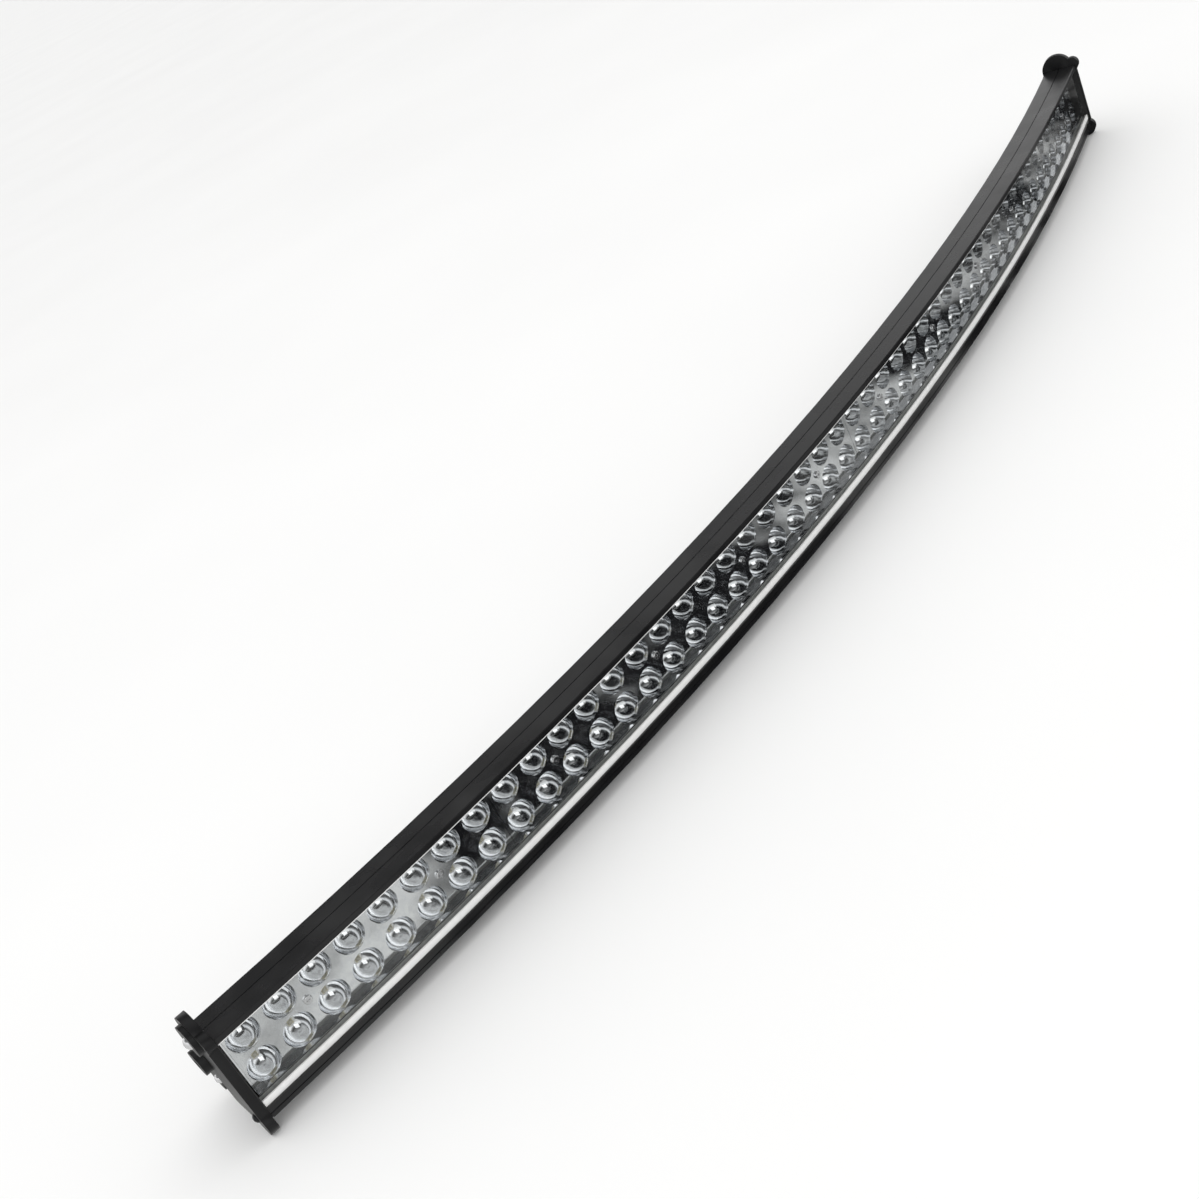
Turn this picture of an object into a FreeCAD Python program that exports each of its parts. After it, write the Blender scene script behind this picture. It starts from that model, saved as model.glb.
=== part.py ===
import FreeCAD, Part
import os, math
import Sketcher
from FreeCAD import Vector, Placement, Rotation

# Curved double-row LED light bar for vehicles and trailers.
# Frame: X along the bar, lens faces -Y, +Z up.  Origin: middle of the flat underside at mid-length.
# The bar is bent about one vertical axis, so every long piece is a section turned about that axis.

doc = FreeCAD.newDocument("led_light_bar")

# ---------------------------------------------------------------- driving dimensions (mm, degrees)
CELLS = [
    # the bend
    ("face_radius", 2800.0, "radius of the front face"),
    ("front_y", -16.0, "Y of the front face at mid-length"),
    ("arc_y", 2784.0, "Y of the bend axis = front_y + face_radius"),
    ("half_angle", 12.800, "half the angle the housing spans"),
    ("cup_angle", 0.53203, "angle between neighbouring cups (26 mm at the face)"),
    # section heights, Z measured from the underside
    ("under_z", 0.0, "underside"),
    ("top_z", 64.5, "top surface"),
    ("mid_z", 35.5, "level half-way between the two rows"),
    ("row_pitch", 23.4, "between the two rows of cups"),
    ("lip_low_z", 8.0, "top edge of the lower lip"),
    ("lip_high_z", 60.7, "bottom edge of the upper lip"),
    ("floor_z", 12.3, "floor of the front chamber"),
    ("ceiling_z", 58.9, "ceiling of the front chamber"),
    ("slot_low_z", 6.9, "bottom of the lens groove"),
    ("slot_high_z", 61.9, "top of the lens groove"),
    # section depths, measured back from the front face
    ("top_depth", 30.0, "depth of the flat top"),
    ("lip_depth", 1.6, "thickness of the lips"),
    ("slot_depth", 7.2, "back of the lens groove"),
    ("tray_depth", 11.5, "front of the reflector plate"),
    ("web_depth", 26.8, "front of the web the boards lie on"),
    ("block_depth", 32.0, "back of the web"),
    ("seam_depth", 15.1, "middle of the fine groove on the top"),
    ("seam_width", 0.8, "width of that groove"),
    ("duct_front", 34.0, "front of the driver duct"),
    ("duct_back", 41.6, "back of the driver duct"),
    ("duct_wall", 2.3, "duct wall"),
    ("duct_half", 9.6, "half height of the duct"),
    ("duct_drop", 7.0, "duct centre below mid_z"),
    ("fin_thick", 2.0, "fin thickness"),
    ("port_radius", 1.7, "screw ports for the end caps"),
    # lens
    ("lens_front", 3.0, "front of the lens"),
    ("lens_thick", 3.5, "lens thickness"),
    ("lens_low_z", 7.9, "lower edge of the lens"),
    ("lens_high_z", 61.0, "upper edge of the lens"),
    ("lens_end_angle", 0.045, "gap from lens to end cap, as an angle"),
    # reflector
    ("tray_thick", 1.4, "reflector plate"),
    ("tray_half", 23.0, "half height of the reflector plate"),
    ("cup_radius", 10.5, "cup mouth"),
    ("cup_throat", 3.3, "cup throat"),
    ("cup_depth", 13.1, "depth of a cup"),
    ("cup_wall", 0.7, "cup wall"),
    # electronics
    ("board_thick", 1.6, "LED board"),
    ("pad_thick", 0.3, "thermal pad"),
    ("package_side", 3.5, "LED package"),
    # end caps
    ("cap_thick", 6.0, "end-cap plate"),
    ("cap_gasket", 0.8, "end gasket"),
    ("boss_radius", 8.5, "bracket boss"),
    ("boss_out", 4.5, "bracket boss stands this far out of the cap"),
    ("bracket_hole", 3.4, "radius of the tapped M8 bracket hole"),
    ("ear_radius", 18.0, "large round ear at the top rear"),
]
sheet = doc.addObject("Spreadsheet::Sheet", "dims")
for i, (name, value, note) in enumerate(CELLS):
    sheet.set("A%d" % (i + 1), name)
    sheet.set("B%d" % (i + 1), repr(value))
    sheet.set("C%d" % (i + 1), note)
    sheet.setAlias("B%d" % (i + 1), name)
doc.recompute()


class Size(object):
    """A number together with the spreadsheet expression it comes from."""

    def __init__(self, value, text):
        self.v = float(value)
        self.t = text

    def _other(self, o):
        return o if isinstance(o, Size) else Size(o, repr(float(o)))

    def __add__(self, o):
        o = self._other(o)
        return Size(self.v + o.v, "(%s + %s)" % (self.t, o.t))

    def __sub__(self, o):
        o = self._other(o)
        return Size(self.v - o.v, "(%s - %s)" % (self.t, o.t))

    def __mul__(self, o):
        o = self._other(o)
        return Size(self.v * o.v, "(%s * %s)" % (self.t, o.t))

    __radd__ = __add__
    __rmul__ = __mul__

    def __rsub__(self, o):
        return self._other(o) - self

    def __neg__(self):
        return Size(-self.v, "(-1 * %s)" % self.t)


def cell(name):
    return Size(sheet.get(name), "dims." + name)


def size(x):
    return x if isinstance(x, Size) else Size(x, repr(float(x)))


C = dict((n, cell(n)) for n, v, t in CELLS)


def depth(d):
    """Y of a point d behind the front face."""
    return C["front_y"] + size(d)


PARTS = []


def body(label):
    b = doc.addObject("PartDesign::Body", label)
    b.Label = label
    PARTS.append(b)
    return b


def role_plane(b, role):
    for f in b.Origin.OriginFeatures:
        if f.Role == role:
            return f
    raise RuntimeError("no plane " + role)


def new_sketch(b, name, role="YZ_Plane"):
    s = b.newObject("Sketcher::SketchObject", name)
    s.AttachmentSupport = [(role_plane(b, role), "")]
    s.MapMode = "FlatFace"
    return s


def place_point(s, geo, pos, x, y):
    """Pin one point of a sketch to spreadsheet sizes."""
    for axis, q in (("DistanceX", x), ("DistanceY", y)):
        if abs(q.v) < 1e-9 and "dims" not in q.t:
            line = -2 if axis == "DistanceX" else -1
            s.addConstraint(Sketcher.Constraint("PointOnObject", geo, pos, line))
            continue
        c = s.addConstraint(Sketcher.Constraint(axis, -1, 1, geo, pos, q.v))
        if "dims" in q.t:
            s.setExpression("Constraints[%d]" % c, q.t)


def polygon(s, pts):
    """Closed outline through (x, y) sizes."""
    pts = [(size(a), size(b)) for a, b in pts]
    first = s.GeometryCount
    n = len(pts)
    for i in range(n):
        a, b = pts[i], pts[(i + 1) % n]
        s.addGeometry(Part.LineSegment(Vector(a[0].v, a[1].v, 0), Vector(b[0].v, b[1].v, 0)), False)
    for i in range(n):
        s.addConstraint(Sketcher.Constraint("Coincident", first + i, 2, first + (i + 1) % n, 1))
    for i in range(n):
        place_point(s, first + i, 1, pts[i][0], pts[i][1])
    return first


def rect(s, x0, y0, x1, y1):
    return polygon(s, [(x0, y0), (x1, y0), (x1, y1), (x0, y1)])


def circle(s, x, y, r):
    x, y, r = size(x), size(y), size(r)
    g = s.addGeometry(Part.Circle(Vector(x.v, y.v, 0), Vector(0, 0, 1), r.v), False)
    place_point(s, g, 3, x, y)
    c = s.addConstraint(Sketcher.Constraint("Radius", g, r.v))
    if "dims" in r.t:
        s.setExpression("Constraints[%d]" % c, r.t)
    return g


def bend_axis(s):
    """Construction line in a YZ sketch along the bend axis."""
    y = C["arc_y"]
    g = s.addGeometry(Part.LineSegment(Vector(y.v, 0, 0), Vector(y.v, 50, 0)), True)
    place_point(s, g, 1, y, size(0.0))
    s.addConstraint(Sketcher.Constraint("Vertical", g))
    s.addConstraint(Sketcher.Constraint("DistanceY", g, 1, g, 2, 50.0))
    return g


def turn(b, s, name, angle, cut=False):
    """Section turned about the bend axis, half to each side of its sketch plane."""
    f = b.newObject("PartDesign::Groove" if cut else "PartDesign::Revolution", name)
    f.Profile = s
    f.ReferenceAxis = (s, ["Axis0"])
    f.Midplane = True
    angle = size(angle)
    f.Angle = angle.v
    f.setExpression("Angle", angle.t)
    s.Visibility = False
    return f


def about_bend(deg):
    """Placement that carries a piece built at mid-length to an angle along the bar (towards +X)."""
    c = Vector(0, sheet.get("arc_y"), 0)
    rot = Rotation(Vector(0, 0, 1), deg)
    return Placement(c - rot.multVec(c), rot)


def group(label, shapes):
    f = doc.addObject("Part::Feature", label)
    f.Label = label
    f.Shape = Part.makeCompound(shapes)
    f.Placement = Placement()
    PARTS.append(f)
    return f


def val(name):
    return float(sheet.get(name))


FULL = C["half_angle"] * 2.0

# ---------------------------------------------------------------- housing: one bent aluminium extrusion
housing = body("housing")
s = new_sketch(housing, "housing_block")
bend_axis(s)
polygon(s, [
    (depth(0.6), C["under_z"]), (depth(0.0), C["under_z"] + 0.6),
    (depth(0.0), C["top_z"] - 0.5), (depth(0.5), C["top_z"]),
    (depth(C["top_depth"]) - 1.0, C["top_z"]), (depth(C["top_depth"]), C["top_z"] - 1.0),
    (depth(C["top_depth"]), C["top_z"] - 3.0), (depth(C["block_depth"]), C["top_z"] - 5.0),
    (depth(C["block_depth"]), C["under_z"] + 2.0), (depth(C["block_depth"]) - 2.0, C["under_z"]),
])
turn(housing, s, "block", FULL)

s = new_sketch(housing, "housing_fins")
bend_axis(s)
duct_mid = C["mid_z"] - C["duct_drop"]
duct_low = duct_mid - C["duct_half"] - C["duct_wall"]
duct_high = duct_mid + C["duct_half"] + C["duct_wall"]
rect(s, depth(C["block_depth"]) - 1.0, duct_low, depth(C["duct_back"]) + C["duct_wall"], duct_high)
turn(housing, s, "duct_wall_outer", FULL)

# (level above or below mid_z, reach behind the front face)
FINS = [(20.6, 34.6), (15.4, 37.6), (10.2, 40.6), (-26.6, 50.0), (-31.4, 45.0)]
s = new_sketch(housing, "housing_side_fins")
bend_axis(s)
for level, reach in FINS:
    z = C["mid_z"] + level
    rect(s, depth(C["block_depth"]) - 0.5, z - C["fin_thick"] * 0.5, depth(reach), z + C["fin_thick"] * 0.5)
turn(housing, s, "side_fins", FULL)

REAR = [(0.0, 46.6), (-5.0, 49.4), (-10.0, 52.2), (-15.0, 55.0)]
s = new_sketch(housing, "housing_rear_fins")
bend_axis(s)
for level, reach in REAR:
    z = C["mid_z"] + level
    rect(s, depth(C["duct_back"]) + C["duct_wall"] - 0.5, z - C["fin_thick"] * 0.5, depth(reach), z + C["fin_thick"] * 0.5)
turn(housing, s, "rear_fins", FULL)

# lower rear screw port, carried by its own fin
PORT_B = (44.5, -21.2)
s = new_sketch(housing, "housing_port_boss")
bend_axis(s)
circle(s, depth(PORT_B[0]), C["mid_z"] + PORT_B[1], 3.6)
turn(housing, s, "port_boss", FULL)
s = new_sketch(housing, "housing_port_fin")
bend_axis(s)
rect(s, depth(C["block_depth"]) - 0.5, C["mid_z"] + PORT_B[1] - 1.2, depth(PORT_B[0]), C["mid_z"] + PORT_B[1] + 1.2)
turn(housing, s, "port_fin", FULL)

s = new_sketch(housing, "housing_chamber")
bend_axis(s)
polygon(s, [
    (depth(-2.0), C["lip_low_z"]), (depth(C["lip_depth"]), C["lip_low_z"]),
    (depth(C["lip_depth"]), C["slot_low_z"]), (depth(C["slot_depth"]), C["slot_low_z"]),
    (depth(C["slot_depth"]), C["floor_z"]), (depth(C["web_depth"]), C["floor_z"]),
    (depth(C["web_depth"]), C["ceiling_z"]), (depth(C["slot_depth"]), C["ceiling_z"]),
    (depth(C["slot_depth"]), C["slot_high_z"]), (depth(C["lip_depth"]), C["slot_high_z"]),
    (depth(C["lip_depth"]), C["lip_high_z"]), (depth(-2.0), C["lip_high_z"]),
])
turn(housing, s, "front_chamber", FULL + 1.0, cut=True)

s = new_sketch(housing, "housing_hollows")
bend_axis(s)
rect(s, depth(C["duct_front"]), duct_mid - C["duct_half"], depth(C["duct_back"]), duct_mid + C["duct_half"])
rect(s, depth(12.5), C["under_z"] + 3.0, depth(28.0), C["floor_z"] - 3.0)
turn(housing, s, "closed_hollows", FULL + 1.0, cut=True)

s = new_sketch(housing, "housing_seam")
bend_axis(s)
polygon(s, [
    (depth(C["seam_depth"]) - C["seam_width"] * 0.5, C["top_z"] + 1.0),
    (depth(C["seam_depth"]) - C["seam_width"] * 0.5, C["top_z"] - 0.3),
    (depth(C["seam_depth"]), C["top_z"] - 0.9),
    (depth(C["seam_depth"]) + C["seam_width"] * 0.5, C["top_z"] - 0.3),
    (depth(C["seam_depth"]) + C["seam_width"] * 0.5, C["top_z"] + 1.0),
])
turn(housing, s, "top_seam", FULL + 1.0, cut=True)

# front lower edge groove, the fine line along the lower lip
s = new_sketch(housing, "housing_lip_line")
bend_axis(s)
rect(s, depth(-1.0), C["under_z"] + 3.4, depth(0.5), C["under_z"] + 4.2)
turn(housing, s, "lip_line", FULL + 1.0, cut=True)

PORT_A = (19.0, 26.2)
PORT_C = (7.0, -32.1)
s = new_sketch(housing, "housing_ports")
bend_axis(s)
for d, level in (PORT_A, PORT_B, PORT_C):
    circle(s, depth(d), C["mid_z"] + level, C["port_radius"])
turn(housing, s, "screw_ports", FULL + 1.0, cut=True)
doc.recompute()


def radial_sketch(b, name, steps):
    """YZ sketch turned about the bend axis by a number of cup pitches."""
    s = new_sketch(b, name)
    a = C["cup_angle"] * steps
    yc = C["arc_y"]
    rad = math.radians(a.v)
    s.AttachmentOffset = Placement(Vector(yc.v * (1 - math.cos(rad)), 0, yc.v * math.sin(rad)),
                                   Rotation(Vector(0, 1, 0), a.v))
    s.setExpression(".AttachmentOffset.Base.x", "%s * (1 - cos(%s))" % (yc.t, a.t))
    s.setExpression(".AttachmentOffset.Base.z", "%s * sin(%s)" % (yc.t, a.t))
    s.setExpression(".AttachmentOffset.Rotation.Angle", a.t)
    return s


def radial_axis(s, level):
    """Construction line through a cup, square to the face."""
    y0, y1 = depth(-5.0), depth(40.0)
    z = size(level)
    g = s.addGeometry(Part.LineSegment(Vector(y0.v, z.v, 0), Vector(y1.v, z.v, 0)), True)
    place_point(s, g, 1, y0, z)
    place_point(s, g, 2, y1, z)
    return g


def spin(b, s, name, cut=False):
    f = b.newObject("PartDesign::Groove" if cut else "PartDesign::Revolution", name)
    f.Profile = s
    f.ReferenceAxis = (s, ["Axis0"])
    f.Angle = 360.0
    s.Visibility = False
    return f


def along_bar(b, name, originals, axis_sketch, steps, count):
    """Repeat features along the bar, every so many cup pitches."""
    p = b.newObject("PartDesign::PolarPattern", name)
    p.Originals = originals
    p.Axis = (axis_sketch, ["Axis0"])
    a = C["cup_angle"] * (steps * (count - 1))
    p.Angle = a.v
    p.setExpression("Angle", a.t)
    p.Occurrences = count
    b.Tip = p
    return p


# tapped holes in the web for the reflector and board screws, four pitches apart
s = radial_sketch(housing, "web_hole", -22)
radial_axis(s, C["mid_z"])
rect(s, depth(C["web_depth"]) - 1.0, C["mid_z"], depth(C["web_depth"]) + 4.0, C["mid_z"] + 1.25)
web_hole = spin(housing, s, "web_hole_first", cut=True)
axis_sketch = [o for o in housing.Group if o.Name == "housing_block"][0]
along_bar(housing, "web_holes", [web_hole], axis_sketch, 4, 12)

# wire hole from the chamber to the duct, gland hole and vent hole through the back of the duct
WIRE_X, GLAND_X, VENT_X = -14.0, 40.0, 84.0


def hole(b, name, x, z, r, y0, y1):
    """Straight hole along Y."""
    s = new_sketch(b, name + "_sketch", "XZ_Plane")
    circle(s, x, z, r)
    f = b.newObject("PartDesign::Pocket", name)
    f.Profile = s
    f.Type = "TwoLengths"
    # the XZ sketch faces -Y: Length runs one way and Length2 the other
    f.Length = y1
    f.Length2 = -y0
    f.Reversed = False
    s.Visibility = False
    return f


def seat(b, name, x, z, r, y0, y1):
    """Round recess along Y between two depths, as a turned groove."""
    s = new_sketch(b, name + "_sketch", "XY_Plane")
    s.AttachmentOffset = Placement(Vector(0, 0, size(z).v), Rotation())
    s.setExpression(".AttachmentOffset.Base.z", size(z).t)
    x, r, y0, y1 = size(x), size(r), size(y0), size(y1)
    g = s.addGeometry(Part.LineSegment(Vector(x.v, y0.v - 1, 0), Vector(x.v, y1.v + 1, 0)), True)
    place_point(s, g, 1, x, y0 - 1.0)
    place_point(s, g, 2, x, y1 + 1.0)
    rect(s, x, y0, x + r, y1)
    return spin(b, s, name, cut=True)


seat(housing, "wire_hole", WIRE_X, duct_mid + 6.0, 3.0, depth(C["web_depth"]) - 2.0, depth(C["duct_front"]) + 1.0)
seat(housing, "gland_hole", GLAND_X, duct_mid, 6.1, depth(C["duct_back"]) - 1.0, depth(60.0))
seat(housing, "gland_seat", GLAND_X, duct_mid, 11.0, depth(C["duct_back"]) + C["duct_wall"] + 0.6, depth(66.0))
seat(housing, "vent_hole", VENT_X, duct_mid, 3.1, depth(C["duct_back"]), depth(60.0))
seat(housing, "vent_seat", VENT_X, duct_mid, 7.0, depth(C["duct_back"]) + C["duct_wall"] + 1.6, depth(66.0))
doc.recompute()

# ---------------------------------------------------------------- lens and its two edge strips
lens = body("lens")
s = new_sketch(lens, "lens_section")
bend_axis(s)
rect(s, depth(C["lens_front"]), C["lens_low_z"], depth(C["lens_front"]) + C["lens_thick"], C["lens_high_z"])
turn(lens, s, "lens_strip", FULL - C["lens_end_angle"] * 2.0)

strip = body("lens_gasket_lower")
s = new_sketch(strip, "lower_strip_section")
bend_axis(s)
g0, g1 = C["lip_depth"] + 0.1, C["slot_depth"] - 0.1
rect(s, depth(g0), C["slot_low_z"] + 0.05, depth(g0) + 1.2, C["floor_z"])
turn(strip, s, "lower_strip", FULL - C["lens_end_angle"] * 0.2)

strip = body("lens_gasket_upper")
s = new_sketch(strip, "upper_strip_section")
bend_axis(s)
rect(s, depth(g0), C["lip_high_z"] - 1.7, depth(g0) + 1.2, C["slot_high_z"] - 0.05)
turn(strip, s, "upper_strip", FULL - C["lens_end_angle"] * 0.2)

# foam tape under, over and behind the lens edges
tape = body("lens_tape_lower")
s = new_sketch(tape, "lower_tape_section")
bend_axis(s)
polygon(s, [
    (depth(g0) + 1.3, C["slot_low_z"] + 0.05), (depth(g1), C["slot_low_z"] + 0.05), (depth(g1), C["floor_z"] - 0.1),
    (depth(g1) - 0.5, C["floor_z"] - 0.1), (depth(g1) - 0.5, C["slot_low_z"] + 0.9), (depth(g0) + 1.3, C["slot_low_z"] + 0.9),
])
turn(tape, s, "lower_tape", FULL - C["lens_end_angle"] * 0.2)
tape = body("lens_tape_upper")
s = new_sketch(tape, "upper_tape_section")
bend_axis(s)
polygon(s, [
    (depth(g0) + 1.3, C["slot_high_z"] - 0.05), (depth(g0) + 1.3, C["slot_high_z"] - 0.8), (depth(g1) - 0.5, C["slot_high_z"] - 0.8),
    (depth(g1) - 0.5, C["ceiling_z"] + 0.1), (depth(g1), C["ceiling_z"] + 0.1), (depth(g1), C["slot_high_z"] - 0.05),
])
turn(tape, s, "upper_tape", FULL - C["lens_end_angle"] * 0.2)

# ---------------------------------------------------------------- six reflector modules and six LED boards
board_back = C["web_depth"] - C["pad_thick"]
board_front = board_back - C["board_thick"]


def cup_ring(s, level):
    """Section of one reflector cup: a bowed wall from a small lip in the mouth to the throat."""
    z = size(level)
    t0 = depth(C["tray_depth"]) + C["tray_thick"]
    back = depth(C["tray_depth"]) + C["cup_depth"]
    pts = [
        (t0 - 0.4, z + C["cup_radius"] - 0.15), (t0, z + C["cup_radius"] - 0.15),
        (back, z + C["cup_throat"]), (back, z + C["cup_throat"] + C["cup_wall"]),
        (t0 - 0.4, z + C["cup_radius"] + C["cup_wall"]),
    ]
    v = [Vector(x.v, y.v, 0) for x, y in pts]
    bow = Vector(1.6, 1.4, 0)
    # both arcs run anticlockwise, which is how a sketch numbers their ends
    inner = Part.Arc(v[2], (v[1] + v[2]) * 0.5 + bow, v[1])
    outer = Part.Arc(v[3], (v[3] + v[4]) * 0.5 + bow, v[4])
    curves = [Part.LineSegment(v[0], v[1]), inner, Part.LineSegment(v[2], v[3]), outer, Part.LineSegment(v[4], v[0])]
    ids = [s.addGeometry(g, False) for g in curves]
    ends = [(1, 2), (2, 1), (1, 2), (1, 2), (1, 2)]
    for i in range(5):
        j = (i + 1) % 5
        s.addConstraint(Sketcher.Constraint("Coincident", ids[i], ends[i][1], ids[j], ends[j][0]))
    for i in range(5):
        place_point(s, ids[i], ends[i][0], pts[i][0], pts[i][1])
    for i in (1, 3):
        s.addConstraint(Sketcher.Constraint("Radius", ids[i], s.Geometry[ids[i]].Radius))


def reflector(index):
    b = body("reflector_tray_%d" % (index + 1))
    n = "tray%d_" % (index + 1)
    d0 = C["tray_depth"]
    zl, zh = C["mid_z"] - C["tray_half"], C["mid_z"] + C["tray_half"]
    s0 = new_sketch(b, n + "section")
    bend_axis(s0)
    # plate with a short rim above and a skirt below that reaches the back of the lens
    polygon(s0, [
        (depth(C["slot_depth"]) + 0.2, zl), (depth(d0) + C["tray_thick"], zl), (depth(d0) + C["tray_thick"], zh),
        (depth(d0) - 1.2, zh), (depth(d0) - 1.2, zh - 0.6), (depth(d0), zh - 0.6),
        (depth(d0), zl + 0.6), (depth(C["slot_depth"]) + 0.2, zl + 0.6),
    ])
    turn(b, s0, n + "plate", C["cup_angle"] * 8.0 - 0.006)
    mouths, rings = [], []
    for row, sign in (("up", 0.5), ("low", -0.5)):
        level = C["mid_z"] + C["row_pitch"] * sign
        s = radial_sketch(b, n + row + "_mouth_section", -3.5)
        radial_axis(s, level)
        rect(s, depth(d0) - 0.3, level, depth(d0) + C["tray_thick"] + 1.0, level + C["cup_radius"])
        mouths.append(spin(b, s, n + row + "_mouth", cut=True))
    along_bar(b, n + "mouths", mouths, s0, 1, 8)
    for row, sign in (("up", 0.5), ("low", -0.5)):
        level = C["mid_z"] + C["row_pitch"] * sign
        s = radial_sketch(b, n + row + "_cup_section", -3.5)
        radial_axis(s, level)
        cup_ring(s, level)
        rings.append(spin(b, s, n + row + "_cup"))
    along_bar(b, n + "cups", rings, s0, 1, 8)
    s = radial_sketch(b, n + "post_section", -2.0)
    radial_axis(s, C["mid_z"])
    rect(s, depth(d0) + 0.4, C["mid_z"], depth(board_front) - 0.05, C["mid_z"] + 3.0)
    post = spin(b, s, n + "post")
    along_bar(b, n + "posts", [post], s0, 4, 2)
    s = radial_sketch(b, n + "screw_section", -2.0)
    radial_axis(s, C["mid_z"])
    rect(s, depth(d0) - 1.0, C["mid_z"], depth(board_front) + 1.0, C["mid_z"] + 1.65)
    screw = spin(b, s, n + "screw_hole", cut=True)
    along_bar(b, n + "screw_holes", [screw], s0, 4, 2)
    return b


def led_board(index):
    b = body("led_board_%d" % (index + 1))
    n = "board%d_" % (index + 1)
    s0 = new_sketch(b, n + "section")
    bend_axis(s0)
    rect(s0, depth(board_front), C["mid_z"] - 22.0, depth(board_back), C["mid_z"] + 22.0)
    turn(b, s0, n + "plate", C["cup_angle"] * 8.0 - 0.03)
    s = radial_sketch(b, n + "screw_section", -2.0)
    radial_axis(s, C["mid_z"])
    rect(s, depth(board_front) - 1.0, C["mid_z"], depth(board_back) + 1.0, C["mid_z"] + 1.65)
    h = spin(b, s, n + "screw_hole", cut=True)
    along_bar(b, n + "screw_holes", [h], s0, 4, 2)
    return b


STEP = val("cup_angle")


def copy_of(source, label):
    """Another piece from the same mould: a body whose base feature is the first one."""
    b = body(label)
    f = b.newObject("PartDesign::FeatureBase", label + "_clone")
    f.BaseFeature = source
    f.Placement = Placement()
    b.Tip = f
    return b


trays = [reflector(0)]
boards = [led_board(0)]
doc.recompute()
for i in range(1, 6):
    trays.append(copy_of(trays[0], "reflector_tray_%d" % (i + 1)))
    boards.append(copy_of(boards[0], "led_board_%d" % (i + 1)))
doc.recompute()
for i in range(6):
    where = about_bend((i - 2.5) * 8.0 * STEP)
    trays[i].Placement = where
    boards[i].Placement = where
doc.recompute()

# ---------------------------------------------------------------- small repeated pieces, placed along the bend
FRONT = val("front_y")
MID = val("mid_z")


def along(shape, deg):
    """Shape built at mid-length, carried to an angle along the bar."""
    s = shape.copy()
    s.Placement = about_bend(deg).multiply(s.Placement)
    return s


def rod(x, d, z, r, length, direction):
    return Part.makeCylinder(r, length, Vector(x, FRONT + d, z), direction)


board_face = val("web_depth") - val("pad_thick") - val("board_thick")
side = val("package_side")
package = Part.makeBox(side, 1.0, side, Vector(-side / 2, FRONT + board_face - 1.002, -side / 2))
dome_r = 1.45
dome = Part.makeSphere(dome_r, Vector(0, FRONT + board_face - 1.012, 0), Vector(0, -1, 0), 0, 90, 360)
packages, domes = [], []
for k in range(48):
    deg = (k - 23.5) * STEP
    for sign in (0.5, -0.5):
        up = Placement(Vector(0, 0, MID + sign * val("row_pitch")), Rotation())
        for src, out in ((package, packages), (dome, domes)):
            s = src.copy()
            s.Placement = up.multiply(s.Placement)
            out.append(along(s, deg))
group("led_packages", packages)
group("led_domes", domes)

# long screws through the reflector posts and boards into the web
IN = Vector(0, 1, 0)
d0 = val("tray_depth")
web = val("web_depth")
head = Part.makeCylinder(2.8, 1.5, Vector(0, FRONT + d0 - 1.5, MID), IN)
head = head.makeFillet(0.8, [e for e in head.Edges if abs(e.BoundBox.YMax - (FRONT + d0 - 1.5)) < 1e-6 and len(e.Vertexes) == 1])
cross = Part.makeBox(2.6, 0.9, 0.6, Vector(-1.3, FRONT + d0 - 1.6, MID - 0.3)).fuse(
    Part.makeBox(0.6, 0.9, 2.6, Vector(-0.3, FRONT + d0 - 1.6, MID - 1.3)))
long_screw = head.cut(cross).fuse(rod(0, d0, MID, 1.5, web - d0 - 0.1, IN)).fuse(rod(0, web - 0.2, MID, 1.2, 3.8, IN))
group("board_screws", [along(long_screw, (-22 + 4 * k) * STEP) for k in range(12)])

# ---------------------------------------------------------------- end plates, their seals and screws
HALF = val("half_angle")
GASKET = val("cap_gasket")
CAP = val("cap_thick")
OUTLINE = [
    (0.2, -35.0), (1.6, -36.8), (12.0, -38.4), (38.0, -38.4), (40.5, -36.0), (40.5, -26.5), (50.0, -24.0), (57.0, -22.0),
    (54.5, -16.0), (48.0, -4.0), (44.5, 6.0), (39.0, 15.0), (31.5, 27.0), (28.0, 31.0), (6.0, 31.0), (0.2, 29.0),
]
EARS = [("top_ear", 17.5, 28.0, 14.5), ("rear_ear", 54.5, -28.0, 7.6), ("front_top_ear", 3.0, 29.4, 6.4),
        ("front_low_ear", 5.2, -36.6, 8.0)]
BOSS = (38.0, 0.0)


def pad(b, s, name, length, sign, cut=False, both=False):
    f = b.newObject("PartDesign::Pocket" if cut else "PartDesign::Pad", name)
    f.Profile = s
    length = size(length)
    f.Length = length.v
    f.setExpression("Length", length.t)
    # a pocket runs against the sketch's normal, a pad along it
    f.Reversed = (sign > 0) if cut else (sign < 0)
    s.Visibility = False
    return f


def plane_sketch(b, name, shift):
    """YZ sketch moved along the bar."""
    s = new_sketch(b, name)
    shift = size(shift)
    s.AttachmentOffset = Placement(Vector(0, 0, shift.v), Rotation())
    if "dims" in shift.t:
        s.setExpression(".AttachmentOffset.Base.z", shift.t)
    return s


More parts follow.
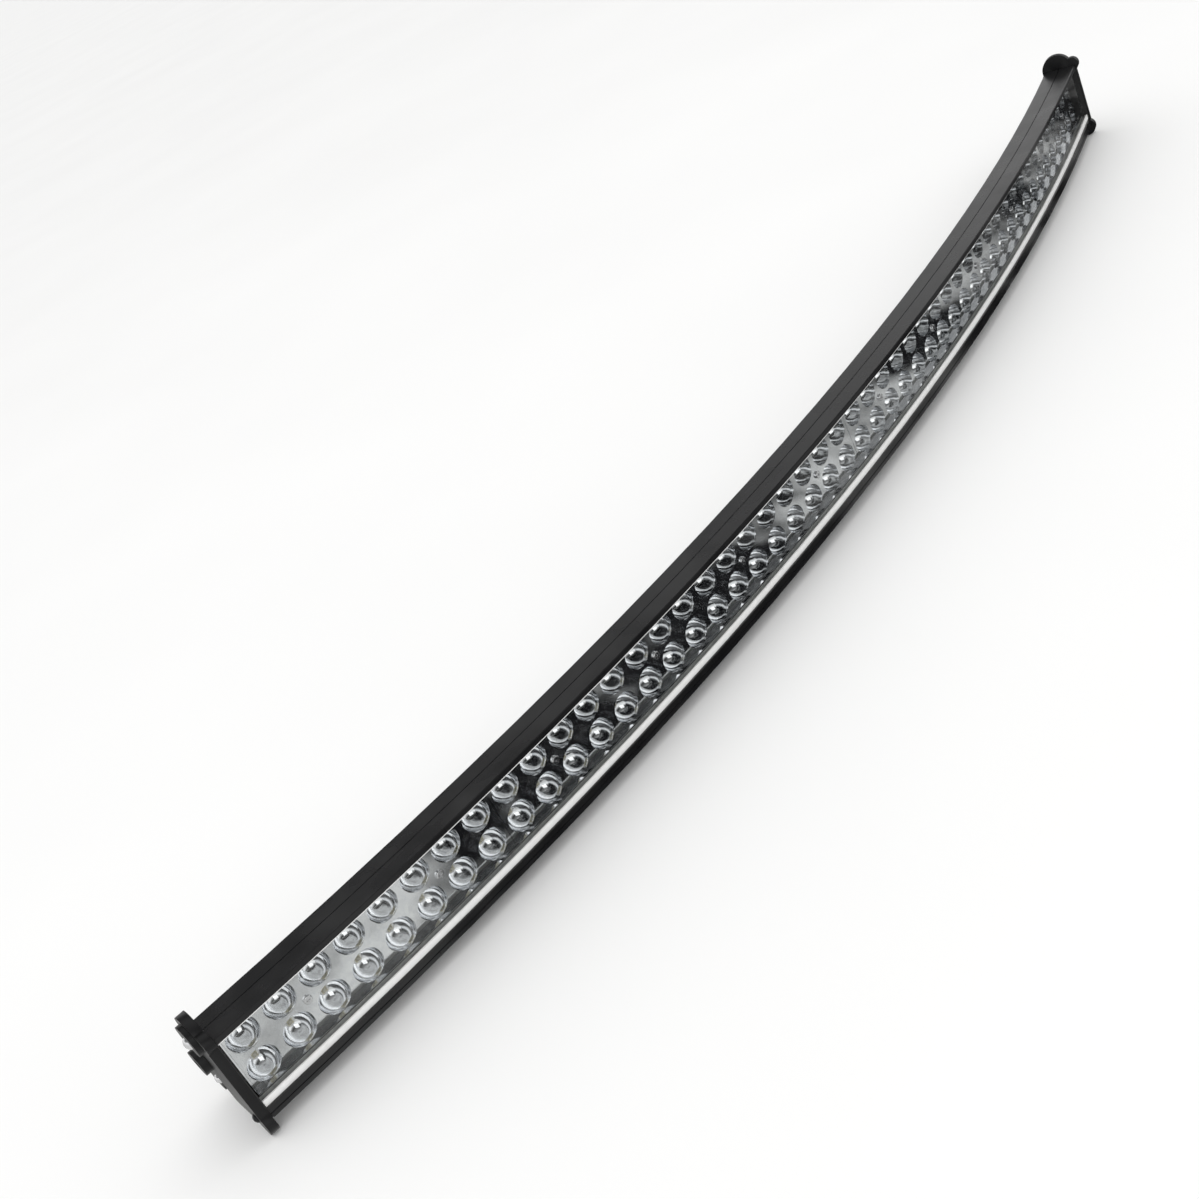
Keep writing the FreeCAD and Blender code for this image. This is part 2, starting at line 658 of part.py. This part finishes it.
def end_cap(label, sign):
    b = body(label)
    n = label + "_"
    s = new_sketch(b, n + "outline")
    polygon(s, [(depth(y), C["mid_z"] + z) for y, z in OUTLINE])
    pad(b, s, n + "plate", C["cap_thick"], sign)
    for name, y, z, r in EARS:
        s = new_sketch(b, n + name + "_sketch")
        circle(s, depth(y), C["mid_z"] + z, r)
        pad(b, s, n + name, C["cap_thick"], sign)
    s = new_sketch(b, n + "top_pad_sketch")
    circle(s, depth(EARS[0][1]), C["mid_z"] + EARS[0][2], 10.5)
    pad(b, s, n + "top_pad", C["cap_thick"] + 3.0, sign)
    s = new_sketch(b, n + "boss_sketch")
    circle(s, depth(BOSS[0]), C["mid_z"] + BOSS[1], C["boss_radius"])
    pad(b, s, n + "boss", C["cap_thick"] + C["boss_out"], sign)
    # blind tapped hole for the bracket bolt, open on the outside
    s = plane_sketch(b, n + "bolt_sketch", C["cap_thick"] * sign + C["boss_out"] * sign)
    circle(s, depth(BOSS[0]), C["mid_z"] + BOSS[1], C["bracket_hole"])
    f = pad(b, s, n + "bolt_hole", C["cap_thick"] + C["boss_out"] - 1.0, sign, cut=True)
    f.Reversed = sign < 0
    s = new_sketch(b, n + "screw_sketch")
    for y, z in (PORT_A, PORT_B, PORT_C):
        circle(s, depth(y), C["mid_z"] + z, 2.0)
    pad(b, s, n + "screw_holes", C["cap_thick"] + 4.0, sign, cut=True)
    return b


def end_gasket(label, sign):
    b = body(label)
    n = label + "_"
    s = new_sketch(b, n + "outline")
    polygon(s, [(depth(y), C["mid_z"] + z) for y, z in (
        (0.8, -34.8), (31.4, -34.8), (31.4, -19.0), (43.6, -19.0), (43.6, 5.0), (31.4, 5.0),
        (31.4, 24.0), (28.8, 28.5), (0.8, 28.5))])
    pad(b, s, n + "sheet", C["cap_gasket"], sign)
    s = new_sketch(b, n + "screw_sketch")
    for y, z in (PORT_A, PORT_C):
        circle(s, depth(y), C["mid_z"] + z, 1.9)
    pad(b, s, n + "screw_holes", C["cap_gasket"] + 1.0, sign, cut=True)
    return b


ends = []
for word, sign in (("left", -1), ("right", 1)):
    g = end_gasket("end_gasket_" + word, sign)
    c = end_cap("end_cap_" + word, sign)
    ends.append((g, c, sign))
doc.recompute()
for g, c, sign in ends:
    where = about_bend(sign * HALF)
    g.Placement = where
    c.Placement = where.multiply(Placement(Vector(sign * GASKET, 0, 0), Rotation()))
doc.recompute()


def end_screw(y, z, head_r, head_h, socket_r, sign, lift=0.0):
    """Button-head screw through an end plate, built at mid-length."""
    out = Vector(sign, 0, 0)
    face = sign * (GASKET + CAP + lift)
    base = Vector(face, FRONT + y, MID + z)
    crown = (head_r ** 2 + head_h ** 2) / (2 * head_h)
    ball = Part.makeSphere(crown, base - out * (crown - head_h))
    head = Part.makeCylinder(head_r, head_h, base, out).common(ball)
    flats = [base + Vector(0, socket_r * math.cos(math.radians(60 * i)), socket_r * math.sin(math.radians(60 * i)))
             + out * (head_h * 0.35) for i in range(7)]
    socket = Part.Face(Part.makePolygon(flats)).extrude(out * head_h)
    shank = Part.makeCylinder(1.65, CAP + GASKET + lift + 14.0, base, out * -1)
    return along(head.cut(socket).fuse(shank), sign * HALF)


group("top_end_screws", [end_screw(PORT_A[0], PORT_A[1], 4.2, 2.5, 1.5, s, 3.0) for s in (-1, 1)])
group("rear_end_screws", [end_screw(PORT_B[0], PORT_B[1], 3.2, 2.0, 1.2, s) for s in (-1, 1)])
group("front_end_screws", [end_screw(p[0], p[1], 3.4, 2.1, 1.3, s) for s in (-1, 1) for p in (PORT_C,)])

# ---------------------------------------------------------------- driver module in the rear duct
DRIVE_DEG = math.degrees(-62.0 / (val("arc_y") - FRONT - 38.0))
DUCT = MID - val("duct_drop")
y_board = 34.9
driver = Part.makeBox(112.0, 1.6, 18.0, Vector(-56, FRONT + y_board, DUCT - 9.0))
for x in (-50.0, 50.0):
    driver = driver.cut(rod(x, y_board - 1, DUCT, 1.4, 4.0, IN))
group("driver_board", [along(driver, DRIVE_DEG)])
top = y_board + 1.6
coils = []
for x in (-30.0, -12.0):
    coil = Part.makeCylinder(6.0, 4.0, Vector(x, FRONT + top + 0.05, DUCT), IN)
    waist = Part.makeCylinder(7.0, 1.9, Vector(x, FRONT + top + 1.1, DUCT), IN).cut(
        Part.makeCylinder(5.0, 1.9, Vector(x, FRONT + top + 1.1, DUCT), IN))
    coils.append(along(coil.cut(waist), DRIVE_DEG))
group("driver_coils", coils)
cans = []
for x in (8.0, 18.0, 28.0):
    can = Part.makeCylinder(3.15, 3.6, Vector(x, FRONT + top + 0.55, DUCT), IN)
    foot = Part.makeBox(6.6, 0.6, 6.6, Vector(x - 3.3, FRONT + top + 0.05, DUCT - 3.3))
    cans.append(along(can.fuse(foot), DRIVE_DEG))
group("driver_capacitors", cans)
chips = []
for x, z, w, h in ((-42.0, 0.0, 5.0, 6.0), (-21.0, 6.5, 4.0, 3.0), (38.0, 4.0, 6.5, 5.0), (38.0, -4.0, 4.0, 3.0)):
    chips.append(along(Part.makeBox(w, 1.5, h, Vector(x - w / 2, FRONT + top + 0.05, DUCT + z - h / 2)), DRIVE_DEG))
group("driver_chips", chips)
# short pair from the driver through the web to the back of a LED board
pair = [rod(WIRE_X + dx, board_face + val("board_thick") + 0.2, DUCT + 6.0, 0.7, y_board - board_face - val("board_thick") - 0.25, IN)
        for dx in (-1.3, 1.3)]
group("board_lead", pair)

# ---------------------------------------------------------------- cable gland, vent and the lead behind them
# everything here is measured from the duct's outer wall
OUT = val("duct_back") + val("duct_wall") - 46.2


def turned(x, z, pts):
    """Round piece on an axis along Y: (radius, depth) outline turned a full circle."""
    face = Part.Face(Part.makePolygon([Vector(x + r, FRONT + OUT + d, z) for r, d in pts + pts[:1]]))
    return face.revolve(Vector(x, FRONT, z), Vector(0, 1, 0), 360)


def hexagon(x, z, across, d_from, d_to):
    r = across / math.sqrt(3.0)
    pts = [Vector(x + r * math.cos(math.radians(60 * i)), FRONT + OUT + d_from, z + r * math.sin(math.radians(60 * i)))
           for i in range(7)]
    return Part.Face(Part.makePolygon(pts)).extrude(Vector(0, d_to - d_from, 0))


gland = turned(GLAND_X, DUCT, [(3.4, 42.4), (6.0, 42.4), (6.0, 47.9), (7.4, 47.9), (7.4, 58.0), (6.0, 58.0), (6.0, 53.0), (3.4, 53.0)])
collar = hexagon(GLAND_X, DUCT, 17.0, 47.9, 51.0).cut(rod(GLAND_X, OUT + 47.0, DUCT, 7.0, 6.0, IN))
group("cable_gland", [gland.fuse(collar)])
group("gland_seal", [turned(GLAND_X, DUCT, [(6.05, 46.85), (8.3, 46.85), (8.3, 47.9), (6.05, 47.9)])])
group("gland_insert", [turned(GLAND_X, DUCT, [(1.85, 53.05), (5.9, 53.05), (5.9, 60.0), (1.85, 60.0)])])
nut = turned(GLAND_X, DUCT, [(7.45, 51.2), (8.2, 51.2), (8.2, 60.2), (6.4, 63.0), (3.9, 63.0), (3.9, 60.1), (7.45, 60.1)])
flats = hexagon(GLAND_X, DUCT, 16.8, 51.2, 58.6).cut(rod(GLAND_X, OUT + 50.0, DUCT, 7.45, 12.0, IN))
group("gland_nut", [nut.fuse(flats)])
vent = turned(VENT_X, DUCT, [(0.0, 44.9), (3.0, 44.9), (3.0, 47.95), (5.6, 47.95), (5.6, 51.0), (4.6, 52.0), (0.0, 52.0)])
vent = vent.cut(rod(VENT_X, OUT + 50.6, DUCT, 2.6, 2.0, IN).cut(rod(VENT_X, OUT + 50.6, DUCT, 1.4, 2.0, IN)))
group("vent_plug", [vent])

# supply lead: along the duct, a quarter turn, and out into the gland's bore
LEAD = FRONT + 38.8
p0 = Vector(-4.0, LEAD, DUCT)
p1 = Vector(GLAND_X - 4.0, LEAD, DUCT)
p2 = Vector(GLAND_X, LEAD + 4.0, DUCT)
p3 = Vector(GLAND_X, FRONT + OUT + 59.9, DUCT)
bend_mid = Vector(GLAND_X - 4.0 + 4.0 * math.sin(math.pi / 4), LEAD + 4.0 - 4.0 * math.cos(math.pi / 4), DUCT)
route = Part.Wire([Part.LineSegment(p0, p1).toShape(), Part.Arc(p1, bend_mid, p2).toShape(), Part.LineSegment(p2, p3).toShape()])
ring = Part.Wire([Part.makeCircle(1.8, p0, Vector(1, 0, 0))])
group("supply_lead", [route.makePipeShell([ring], True, False)])
doc.recompute()

# ---------------------------------------------------------------- checks, then one STEP file per piece
for o in doc.Objects:
    if "Invalid" in o.State or "Error" in o.State:
        raise RuntimeError("%s is %s" % (o.Name, o.State))
for o in PARTS:
    if o.Shape.isNull() or not o.Shape.isValid() or not o.Shape.Solids or o.Shape.Volume <= 0:
        raise RuntimeError("bad shape in " + o.Label)
    if o.TypeId == "PartDesign::Body" and len(o.Shape.Solids) != 1:
        raise RuntimeError("%s has %d solids" % (o.Label, len(o.Shape.Solids)))

os.makedirs("parts", exist_ok=True)
for o in PARTS:
    o.Shape.exportStep("parts/%s.step" % o.Label)
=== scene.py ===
import bpy, bmesh, math
from mathutils import Vector, Matrix


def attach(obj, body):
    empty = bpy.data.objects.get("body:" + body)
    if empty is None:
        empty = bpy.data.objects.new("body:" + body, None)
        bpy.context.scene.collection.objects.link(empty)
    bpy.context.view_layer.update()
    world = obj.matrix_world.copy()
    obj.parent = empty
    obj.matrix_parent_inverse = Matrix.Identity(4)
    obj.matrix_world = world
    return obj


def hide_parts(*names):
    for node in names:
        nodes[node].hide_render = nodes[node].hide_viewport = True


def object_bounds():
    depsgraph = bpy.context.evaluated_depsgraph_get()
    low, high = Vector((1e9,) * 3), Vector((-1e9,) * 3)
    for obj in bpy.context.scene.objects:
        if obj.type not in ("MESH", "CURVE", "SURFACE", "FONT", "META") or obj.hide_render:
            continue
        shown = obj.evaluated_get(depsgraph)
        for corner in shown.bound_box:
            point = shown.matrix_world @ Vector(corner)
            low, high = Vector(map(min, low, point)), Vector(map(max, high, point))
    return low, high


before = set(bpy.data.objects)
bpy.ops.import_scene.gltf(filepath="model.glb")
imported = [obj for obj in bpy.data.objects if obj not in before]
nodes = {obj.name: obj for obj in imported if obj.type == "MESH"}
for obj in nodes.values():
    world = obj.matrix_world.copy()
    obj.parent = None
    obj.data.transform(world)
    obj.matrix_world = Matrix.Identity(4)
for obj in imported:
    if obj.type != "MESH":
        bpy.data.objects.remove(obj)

CAD_BOX = [list(v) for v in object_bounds()]
scene = bpy.context.scene


# ---------------------------------------------------------------- materials
def new_mat(name):
    m = bpy.data.materials.new(name)
    m.use_nodes = True
    nt = m.node_tree
    nt.nodes.clear()
    out = nt.nodes.new("ShaderNodeOutputMaterial")
    bs = nt.nodes.new("ShaderNodeBsdfPrincipled")
    nt.links.new(bs.outputs[0], out.inputs[0])
    return m, nt, bs, out


def noise(nt, scale, detail=3.0, rough=0.55, stretch=(1, 1, 1), coord="Object"):
    tc = nt.nodes.new("ShaderNodeTexCoord")
    mp = nt.nodes.new("ShaderNodeMapping")
    mp.inputs["Scale"].default_value = stretch
    n = nt.nodes.new("ShaderNodeTexNoise")
    n.inputs["Scale"].default_value = scale
    n.inputs["Detail"].default_value = detail
    n.inputs["Roughness"].default_value = rough
    nt.links.new(tc.outputs[coord], mp.inputs[0])
    nt.links.new(mp.outputs[0], n.inputs["Vector"])
    return n


def ramp(nt, src, lo, hi, c0, c1):
    r = nt.nodes.new("ShaderNodeValToRGB")
    r.color_ramp.elements[0].position = lo
    r.color_ramp.elements[1].position = hi
    r.color_ramp.elements[0].color = (*c0, 1) if len(c0) == 3 else c0
    r.color_ramp.elements[1].color = (*c1, 1) if len(c1) == 3 else c1
    nt.links.new(src, r.inputs[0])
    return r


def value_ramp(nt, src, lo, hi, a, b):
    m = nt.nodes.new("ShaderNodeMapRange")
    m.inputs["From Min"].default_value = lo
    m.inputs["From Max"].default_value = hi
    m.inputs["To Min"].default_value = a
    m.inputs["To Max"].default_value = b
    nt.links.new(src, m.inputs["Value"])
    return m


def bump(nt, bs, src, strength, dist):
    b = nt.nodes.new("ShaderNodeBump")
    b.inputs["Strength"].default_value = strength
    b.inputs["Distance"].default_value = dist
    nt.links.new(src, b.inputs["Height"])
    nt.links.new(b.outputs[0], bs.inputs["Normal"])
    return b


def coated(name, dark, light, rough_a, rough_b, grain=1400.0, spec=0.5, depth=0.00005, blotch=25.0):
    """Powder coat or anodise: fine orange peel, slow colour drift."""
    m, nt, bs, out = new_mat(name)
    big = noise(nt, blotch, 3)
    c = ramp(nt, big.outputs["Fac"], 0.35, 0.65, dark, light)
    nt.links.new(c.outputs[0], bs.inputs["Base Color"])
    fine = noise(nt, grain, 2)
    r = value_ramp(nt, big.outputs["Fac"], 0.3, 0.7, rough_a, rough_b)
    nt.links.new(r.outputs[0], bs.inputs["Roughness"])
    bs.inputs["Specular IOR Level"].default_value = spec
    bump(nt, bs, fine.outputs["Fac"], 0.25, depth)
    return m


def metal(name, a, b, r0, r1, stretch=(1, 1, 1), scale=600.0, strength=0.1):
    m, nt, bs, out = new_mat(name)
    n = noise(nt, scale, 3, 0.6, stretch)
    c = ramp(nt, n.outputs["Fac"], 0.3, 0.7, a, b)
    nt.links.new(c.outputs[0], bs.inputs["Base Color"])
    bs.inputs["Metallic"].default_value = 1.0
    r = value_ramp(nt, n.outputs["Fac"], 0.3, 0.7, r0, r1)
    nt.links.new(r.outputs[0], bs.inputs["Roughness"])
    bump(nt, bs, n.outputs["Fac"], strength, 0.00003)
    return m


def plain(name, a, b, r0, r1, scale=300.0, grain=2000.0, strength=0.2):
    m, nt, bs, out = new_mat(name)
    n = noise(nt, scale, 3)
    c = ramp(nt, n.outputs["Fac"], 0.3, 0.7, a, b)
    nt.links.new(c.outputs[0], bs.inputs["Base Color"])
    r = value_ramp(nt, n.outputs["Fac"], 0.3, 0.7, r0, r1)
    nt.links.new(r.outputs[0], bs.inputs["Roughness"])
    f = noise(nt, grain, 2)
    bump(nt, bs, f.outputs["Fac"], strength, 0.00003)
    return m


def clear_lens():
    m, nt, bs, out = new_mat("lens_polycarbonate")
    nt.nodes.remove(bs)
    tr = nt.nodes.new("ShaderNodeBsdfTransparent")
    tr.inputs[0].default_value = (0.965, 0.97, 0.968, 1)
    gl = nt.nodes.new("ShaderNodeBsdfGlossy")
    gl.inputs["Color"].default_value = (1, 1, 1, 1)
    n = noise(nt, 14.0, 2)
    r = value_ramp(nt, n.outputs["Fac"], 0.3, 0.7, 0.012, 0.03)
    nt.links.new(r.outputs[0], gl.inputs["Roughness"])
    lw = nt.nodes.new("ShaderNodeLayerWeight")
    lw.inputs["Blend"].default_value = 0.5
    pw = nt.nodes.new("ShaderNodeMath")
    pw.operation = "POWER"
    pw.inputs[1].default_value = 5.0
    nt.links.new(lw.outputs["Facing"], pw.inputs[0])
    fr = value_ramp(nt, pw.outputs[0], 0.0, 1.0, 0.03, 0.6)
    mx = nt.nodes.new("ShaderNodeMixShader")
    nt.links.new(fr.outputs[0], mx.inputs[0])
    nt.links.new(tr.outputs[0], mx.inputs[1])
    nt.links.new(gl.outputs[0], mx.inputs[2])
    nt.links.new(mx.outputs[0], out.inputs[0])
    return m


M = {
    "housing": coated("coated_housing", (0.007, 0.007, 0.0075), (0.012, 0.012, 0.0125), 0.24, 0.34, spec=0.35),
    "cap": coated("coated_cap", (0.005, 0.005, 0.0055), (0.009, 0.009, 0.0095), 0.36, 0.46, spec=0.25),
    "lens": clear_lens(),
    "silicone": plain("white_silicone", (0.80, 0.80, 0.79), (0.86, 0.86, 0.85), 0.45, 0.6),
    "foam": plain("grey_foam", (0.24, 0.24, 0.235), (0.36, 0.36, 0.35), 0.7, 0.9, 500.0, 1500.0, 0.5),
    "chrome": metal("bright_reflector", (0.70, 0.71, 0.73), (0.80, 0.81, 0.82), 0.04, 0.13, (1, 1, 1), 220.0, 0.10),
    "board": plain("white_board", (0.80, 0.81, 0.80), (0.86, 0.86, 0.85), 0.35, 0.5),
    "led": plain("phosphor", (0.52, 0.48, 0.34), (0.60, 0.56, 0.42), 0.4, 0.6),
    "dome": plain("led_dome", (0.40, 0.38, 0.30), (0.48, 0.46, 0.38), 0.08, 0.16),
    "steel": metal("bright_screw", (0.66, 0.66, 0.67), (0.78, 0.78, 0.79), 0.18, 0.3),
    "black_screw": metal("black_screw", (0.02, 0.02, 0.022), (0.035, 0.035, 0.037), 0.3, 0.42),
    "rubber": plain("black_rubber", (0.015, 0.015, 0.015), (0.025, 0.025, 0.025), 0.6, 0.8),
    "pcb": plain("green_board", (0.01, 0.09, 0.035), (0.015, 0.13, 0.05), 0.3, 0.45),
    "part": plain("black_part", (0.012, 0.012, 0.012), (0.03, 0.03, 0.03), 0.35, 0.5),
    "can": metal("can", (0.6, 0.6, 0.61), (0.75, 0.75, 0.76), 0.25, 0.4),
    "nylon": plain("black_nylon", (0.012, 0.012, 0.012), (0.02, 0.02, 0.02), 0.38, 0.5),
}
USE = {
    "housing": "housing", "lens": "lens", "lens_gasket_lower": "silicone", "lens_gasket_upper": "silicone",
    "lens_tape_lower": "foam", "lens_tape_upper": "foam",
    "led_packages": "led", "led_domes": "dome", "board_screws": "steel", "end_gasket_left": "rubber",
    "end_gasket_right": "rubber", "end_cap_left": "cap", "end_cap_right": "cap", "top_end_screws": "steel",
    "rear_end_screws": "steel", "front_end_screws": "black_screw", "driver_board": "pcb", "driver_coils": "part",
    "driver_capacitors": "can", "driver_chips": "part", "board_lead": "rubber", "supply_lead": "rubber",
    "cable_gland": "nylon", "gland_nut": "nylon", "gland_seal": "rubber", "gland_insert": "rubber", "vent_plug": "nylon",
}
for i in range(1, 7):
    USE["reflector_tray_%d" % i] = "chrome"
    USE["led_board_%d" % i] = "board"
for name, o in nodes.items():
    m = M[USE[name]]
    o.data.materials.clear()
    o.data.materials.append(m)

# ---------------------------------------------------------------- end plates with broken edges
def smooth_copy(node, mat, width, segments=3):
    src = nodes[node]
    me = src.data.copy()
    o = bpy.data.objects.new(node + "_edged", me)
    scene.collection.objects.link(o)
    bm = bmesh.new()
    bm.from_mesh(me)
    bmesh.ops.remove_doubles(bm, verts=bm.verts, dist=1e-6)
    bmesh.ops.dissolve_limit(bm, angle_limit=math.radians(1.0), verts=bm.verts, edges=bm.edges)
    bm.to_mesh(me)
    bm.free()
    bv = o.modifiers.new("edge", "BEVEL")
    bv.width = width
    bv.segments = segments
    bv.limit_method = "ANGLE"
    bv.angle_limit = math.radians(40)
    bv.use_clamp_overlap = True
    bv.harden_normals = True
    for p in me.polygons:
        p.use_smooth = True
    me.materials.clear()
    me.materials.append(mat)
    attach(o, "root")
    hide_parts(node)
    return o


for side in ("left", "right"):
    smooth_copy("end_cap_" + side, M["cap"], 0.0007)

# ---------------------------------------------------------------- floor, light, camera
def stage_mesh(name, verts, faces, mat):
    me = bpy.data.meshes.new(name)
    me.from_pydata(verts, [], faces)
    o = bpy.data.objects.new(name, me)
    scene.collection.objects.link(o)
    me.materials.append(mat)
    return o


fm, nt, bs, out = new_mat("pale_floor")
n = noise(nt, 2.0, 2)
c = ramp(nt, n.outputs["Fac"], 0.3, 0.7, (0.86, 0.86, 0.855), (0.88, 0.88, 0.875))
nt.links.new(c.outputs[0], bs.inputs["Base Color"])
bs.inputs["Roughness"].default_value = 0.9
bs.inputs["Specular IOR Level"].default_value = 0.1
# painted reflection: glossy rays see the floor as an emission of dark and bright patches, brighter towards the
# low-X end and the middle, so the bright parts of the object mirror dark cards that are not there, not a bare white
# floor
lp = nt.nodes.new("ShaderNodeLightPath")
dark = nt.nodes.new("ShaderNodeEmission")
painted_reflection_patches = noise(nt, 9.0, 3, 0.6)
fc = nt.nodes.new("ShaderNodeTexCoord")
fs = nt.nodes.new("ShaderNodeSeparateXYZ")
nt.links.new(fc.outputs["Object"], fs.inputs[0])
along = value_ramp(nt, fs.outputs["X"], -0.7, 0.9, 0.0, 1.0)
# painted reflection bands along X, added to noise patches, then mapped to the emission colour from near black to
# pale
painted_reflection_bands = ramp(nt, along.outputs[0], 0.0, 1.0, (0.34, 0.34, 0.34), (0.04, 0.04, 0.04))
for x, v in ((0.13, 0.28), (0.17, 0.0), (0.38, 0.0), (0.44, 0.14), (0.50, 0.14), (0.56, 0.0), (0.8, 0.05)):
    el = painted_reflection_bands.color_ramp.elements.new(x)
    el.color = (v, v, v, 1)
both = nt.nodes.new("ShaderNodeMath")
nt.links.new(painted_reflection_patches.outputs["Fac"], both.inputs[0])
nt.links.new(painted_reflection_bands.outputs[0], both.inputs[1])
pc = ramp(nt, both.outputs[0], 0.52, 0.78, (0.012, 0.012, 0.013), (0.8, 0.8, 0.79))
nt.links.new(pc.outputs[0], dark.inputs[0])
mixf = nt.nodes.new("ShaderNodeMixShader")
nt.links.new(lp.outputs["Is Glossy Ray"], mixf.inputs[0])
nt.links.new(bs.outputs[0], mixf.inputs[1])
nt.links.new(dark.outputs[0], mixf.inputs[2])
nt.links.new(mixf.outputs[0], out.inputs[0])
zf = CAD_BOX[0][2] - 0.0002
S = 120.0
stage_mesh("floor", [(-S, -S, zf), (S, -S, zf), (S, S, zf), (-S, S, zf)], [(0, 1, 2, 3)], fm)

world = bpy.data.worlds.new("studio")
scene.world = world
world.use_nodes = True
wn = world.node_tree
wn.nodes.clear()
wo = wn.nodes.new("ShaderNodeOutputWorld")
bg = wn.nodes.new("ShaderNodeBackground")
tc = wn.nodes.new("ShaderNodeTexCoord")
sep = wn.nodes.new("ShaderNodeSeparateXYZ")


def sky(stops):
    r = wn.nodes.new("ShaderNodeValToRGB")
    while len(r.color_ramp.elements) > 1:
        r.color_ramp.elements.remove(r.color_ramp.elements[-1])
    r.color_ramp.elements[0].position = stops[0][0]
    r.color_ramp.elements[0].color = (*[stops[0][1]] * 3, 1)
    for x, v in stops[1:]:
        el = r.color_ramp.elements.new(x)
        el.color = (v, v, v, 1)
    return r


soft = sky([(0.0, 1.0), (0.25, 1.03), (0.75, 1.07)])
shine = sky([(0.0, 0.7), (0.2, 1.3), (0.3, 1.15), (0.4, 0.5), (0.47, 0.15), (0.55, 0.03), (0.8, 0.3), (0.9, 0.8)])
lpw = wn.nodes.new("ShaderNodeLightPath")
wn.links.new(tc.outputs["Generated"], sep.inputs[0])
wn.links.new(sep.outputs["Z"], soft.inputs[0])
wn.links.new(sep.outputs["Z"], shine.inputs[0])
m1 = wn.nodes.new("ShaderNodeMix")
m1.data_type = "RGBA"
wn.links.new(lpw.outputs["Is Glossy Ray"], m1.inputs["Factor"])
wn.links.new(soft.outputs[0], m1.inputs[6])
wn.links.new(shine.outputs[0], m1.inputs[7])
m2 = wn.nodes.new("ShaderNodeMix")
m2.data_type = "RGBA"
wn.links.new(lpw.outputs["Is Camera Ray"], m2.inputs["Factor"])
wn.links.new(m1.outputs[2], m2.inputs[6])
m2.inputs[7].default_value = (0.945, 0.94, 0.925, 1)
wn.links.new(m2.outputs[2], bg.inputs["Color"])
bg.inputs["Strength"].default_value = 1.0
wn.links.new(bg.outputs[0], wo.inputs[0])


def area(name, loc, target, size, power, color=(1, 1, 1)):
    l = bpy.data.lights.new(name, "AREA")
    l.shape = "RECTANGLE"
    l.size, l.size_y = size
    l.energy = power
    l.color = color
    o = bpy.data.objects.new(name, l)
    o.location = loc
    o.rotation_euler = (Vector(target) - Vector(loc)).to_track_quat("-Z", "Y").to_euler()
    scene.collection.objects.link(o)
    return o


area("overhead", (0.2, 0.3, 2.6), (0, 0, 0), (3.0, 2.0), 5.0)
area("front_left", (-1.8, -2.2, 1.6), (0, 0, 0), (1.6, 1.2), 9.0)

# pinhole fitted to the picture: columns are right, up and back
W = Vector((1.702681, -1.140726, 0.143017))
t = Vector((196.439, -93.862, 1195.092))
ROT = Matrix.Rotation(W.length, 3, W.normalized())
loc = -(ROT.transposed() @ t) / 1000.0
cam = bpy.data.cameras.new("camera")
cam.sensor_width = 36.0
cam.lens = 36.0 * 1587.91 / 1199.0
cam.clip_end = 200.0
co = bpy.data.objects.new("camera", cam)
scene.collection.objects.link(co)
right, down, fwd = ROT[0], ROT[1], ROT[2]
mw = Matrix(((right[0], -down[0], -fwd[0], loc[0]), (right[1], -down[1], -fwd[1], loc[1]), (right[2], -down[2], -fwd[2], loc[2]), (0, 0, 0, 1)))
co.matrix_world = mw
scene.camera = co
scene.view_settings.view_transform = "Standard"
